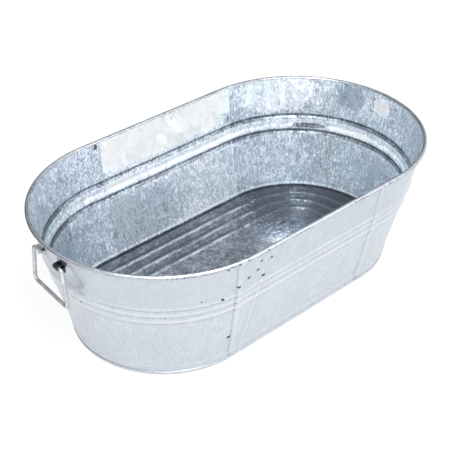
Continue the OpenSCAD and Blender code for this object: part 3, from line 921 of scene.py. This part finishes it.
def strap_line(stand):
    """(out, up, out-normal, up-normal) along half of the strap's middle line, from the tab's
    tip over to the top of the arch."""
    lie = -stand + AIR + STRAP / 2
    leg = EYE_MIDDLE
    line = []
    tip = RIVET_UP + TAB_TIP
    round_tip = [tip - TAB_TIP * t ** 2 for t in spread(0.0, 1.0, 0.12)]
    straight = spread(leg + FILLET, RIVET_UP, 1 * MM)[:-1]
    for up in round_tip + straight[::-1]:
        line.append((lie, up, 1.0, 0.0))
    for angle in spread(0.0, math.pi / 2, math.pi / 10)[1:]:
        line.append((
            lie + FILLET * (1 - math.cos(angle)), leg + FILLET * (1 - math.sin(angle)),
            math.cos(angle), math.sin(angle),
        ))
    for share in spread(0.0, 1.0, 0.25)[1:]:
        line.append(((lie + FILLET) * (1 - share), leg, 0.0, 1.0))
    for angle in spread(0.0, math.pi / 2, math.pi / 14)[1:]:
        line.append((leg * math.sin(angle), leg * math.cos(angle), math.sin(angle), math.cos(angle)))
    return line


def ear(name, node, joint, offset, material):
    """A strap bent over the handle's end: its upper half, then the lower one, its mirror image."""
    place = EarPlace(joint)
    shares = (-1.0, -0.93, -0.6, -0.2, 0.2, 0.6, 0.93, 1.0)
    edge = (0.55, 0.9, 1.0, 1.0, 1.0, 1.0, 0.9, 0.55)     # the strap's edges are rounded over
    halves = [tab_half(up) for _, up, _, _ in strap_line(place.stand(offset))]
    top = len(halves) - 1
    rings = []
    for mirrored, order in ((1, range(top + 1)), (-1, range(top - 1, -1, -1))):
        for index in order:
            outer, inner = [], []
            for share, full in zip(shares, edge):
                along = offset + share * halves[index]
                o, u, no, nu = strap_line(place.stand(along))[index]
                thick = STRAP / 2 * full
                outer.append(place.point(along, o + no * thick, mirrored * (u + nu * thick)))
                inner.append(place.point(along, o - no * thick, mirrored * (u - nu * thick)))
            rings.append(outer + inner[::-1])
    bm = bmesh.new()
    sweep_rings(bm, rings)
    finish_mesh(name, bm, "tub", [node], material, sharp=50)


def dome(bm, centre, normal, side, profile, seed):
    """A turned shape: profile is (radius, height) pairs along the normal."""
    across = normal.cross(side).normalized()
    rings = []
    for r, h in profile:
        ring = []
        for k in range(24):
            a = math.tau * k / 24
            wobble = 1 - 0.04 * (0.5 + noise.noise(Vector((math.cos(a), math.sin(a), seed))))
            ring.append(centre + normal * h + r * wobble * (math.cos(a) * side + math.sin(a) * across))
        rings.append(ring)
    solid_sweep(bm, rings)


HEAD_RADIUS = 3.2 * MM
HEAD_EDGE = 0.25 * MM                        # height of the straight edge of a rivet's head
HEAD_CROWN = 1.3 * MM                        # height of the dome above it
INNER_HEAD = 1.0 * MM


def rivets(name, node, joint, offset):
    """The two rivets of an ear: a domed head on the strap and a flat one inside the tub."""
    place = EarPlace(joint)
    rise = AIR + STRAP
    head = [(0.97 * HEAD_RADIUS, rise), (HEAD_RADIUS, rise + HEAD_EDGE)]
    for share in spread(0.0, 0.93, 0.12)[1:]:
        angle = share * math.pi / 2
        head.append((HEAD_RADIUS * math.cos(angle), rise + HEAD_EDGE + HEAD_CROWN * math.sin(angle)))
    sunk = -LEVEL_SHEET - AIR
    shop = [
        (0.8 * HEAD_RADIUS, sunk - INNER_HEAD), (0.95 * HEAD_RADIUS, sunk - 0.8 * INNER_HEAD),
        (0.98 * HEAD_RADIUS, sunk - 0.3 * INNER_HEAD), (0.94 * HEAD_RADIUS, sunk + 0.05 * MM),
    ]
    bm = bmesh.new()
    for up in (RIVET_UP, -RIVET_UP):
        base = place.point(offset, -place.stand(offset), up)
        dome(bm, base, place.out, place.axis, head, up * 900)
        dome(bm, base, place.out, place.axis, shop, up * 700)
    finish_mesh(name, bm, "tub", [node], RIVET_ZINC, sharp=50)


for side in ("left", "right"):
    joint = JOINTS[side + "_bail"]
    for offset in (EAR_OFFSET, -EAR_OFFSET):
        y = joint["pos_m"][1] + offset * joint["axis"][1]
        where = "front" if y < joint["pos_m"][1] else "back"
        # The left back ear gets the pale copy of the strap: painted glare.
        strap = GLARE_STRAP if (side, where) == ("left", "back") else STRAP_STEEL
        ear(side + "_" + where + "_ear", "ear_" + side + "_" + where, joint, offset, strap)
        rivets(side + "_" + where + "_rivets", "rivets_" + side + "_" + where, joint, offset)


# --------------------------------------------------------------------------------------
# Stage, light and camera
# --------------------------------------------------------------------------------------

def sum_of(nodes, one, other):
    return nodes.add("ShaderNodeAddShader", {0: one, 1: other}).outputs[0]


def white_paper():
    """Paper that the eye sees as plain white. The tub mirrors it a little darker close by,
    in its own shade, and as a dark room from far behind."""
    paper = Finish("white_paper")
    grey = paper.add("ShaderNodeBsdfDiffuse", {"Color": (0.14, 0.14, 0.14, 1)}).outputs[0]
    glow = paper.add("ShaderNodeEmission", {"Strength": 0.90}).outputs[0]
    seen = sum_of(paper, glow, grey)

    near = paper.remap(paper.reach(), 0.14, 0.34, 0.88, 1.0)
    depth = paper.add("ShaderNodeSeparateXYZ", {0: paper.place}).outputs["Y"]
    far = paper.remap(depth, 0.45, 0.75, 1.0, 0.05)
    matte = paper.add("ShaderNodeBsdfDiffuse", {"Color": (0.10, 0.10, 0.10, 1)}).outputs[0]
    spill = paper.add("ShaderNodeEmission", {"Strength": paper.math("MULTIPLY", near, far)}).outputs[0]
    mirrored = sum_of(paper, spill, matte)

    by_eye = paper.add("ShaderNodeLightPath").outputs["Is Camera Ray"]
    return paper.done(paper.add("ShaderNodeMixShader", {0: by_eye, 1: mirrored, 2: seen}).outputs[0])


def studio_world():
    """A bright studio that is greyer overhead, with a dark opening low down behind the tub."""
    world = bpy.data.worlds.new("studio")
    world.use_nodes = True
    sky = Nodes(world.node_tree)
    direction = sky.add("ShaderNodeTexCoord").outputs["Generated"]
    toward = sky.add("ShaderNodeSeparateXYZ", {0: direction}).outputs
    ramp = sky.add("ShaderNodeValToRGB", {"Fac": toward["Z"]})
    level, overhead = ramp.color_ramp.elements
    level.position = 0.35
    level.color = (1.0, 1.0, 1.0, 1)
    overhead.position = 0.95
    overhead.color = (0.50, 0.52, 0.54, 1)
    behind = sky.remap(toward["Y"], 0.15, 0.45, curve="LINEAR")
    low = sky.remap(toward["Z"], 0.62, 0.42, curve="LINEAR")
    opening = sky.math("MULTIPLY", behind, low)
    shade = sky.mix(opening, ramp.outputs["Color"], (0.04, 0.045, 0.05))
    background = sky.add("ShaderNodeBackground", {"Color": shade}).outputs[0]
    sky.add("ShaderNodeOutputWorld", {"Surface": background})
    return world


ground = bmesh.new()
bmesh.ops.create_grid(ground, x_segments=1, y_segments=1, size=6.0)
ground_mesh = bpy.data.meshes.new("studio_floor")
ground.to_mesh(ground_mesh)
ground.free()
ground_mesh.materials.append(white_paper())
studio_floor = bpy.data.objects.new("studio_floor", ground_mesh)
studio_floor.location.z = -0.2 * MM
bpy.context.scene.collection.objects.link(studio_floor)
bpy.context.scene.world = studio_world()


def soft_light(name, place, aim, width, power):
    data = bpy.data.lights.new(name, "AREA")
    data.shape = "SQUARE"
    data.size = width
    data.energy = power
    lamp = bpy.data.objects.new(name, data)
    lamp.location = place
    lamp.rotation_mode = "QUATERNION"
    lamp.rotation_quaternion = (Vector(aim) - Vector(place)).to_track_quat("-Z", "Y")
    bpy.context.scene.collection.objects.link(lamp)


soft_light("front_softbox", (1.2, -2.0, 1.0), (0, 0, 0.1), 1.2, 12)
soft_light("basin_softbox", (-0.30, -0.50, 1.15), (0.05, 0.1, 0.1), 0.5, 28)

VIEW_TURN = math.radians(-42.865)
VIEW_RISE = math.radians(33.85)
camera_data = bpy.data.cameras.new("photo_view")
camera_data.lens = 85.55
camera = bpy.data.objects.new("photo_view", camera_data)
bpy.context.scene.collection.objects.link(camera)
toward_camera = Vector((
    math.sin(VIEW_TURN) * math.cos(VIEW_RISE),
    -math.cos(VIEW_TURN) * math.cos(VIEW_RISE),
    math.sin(VIEW_RISE),
))
camera.location = (-0.9307, -0.9795, 0.9989)
camera.rotation_mode = "QUATERNION"
camera.rotation_quaternion = (-toward_camera).to_track_quat("-Z", "Y")
bpy.context.scene.camera = camera
bpy.context.scene.view_settings.view_transform = "Standard"
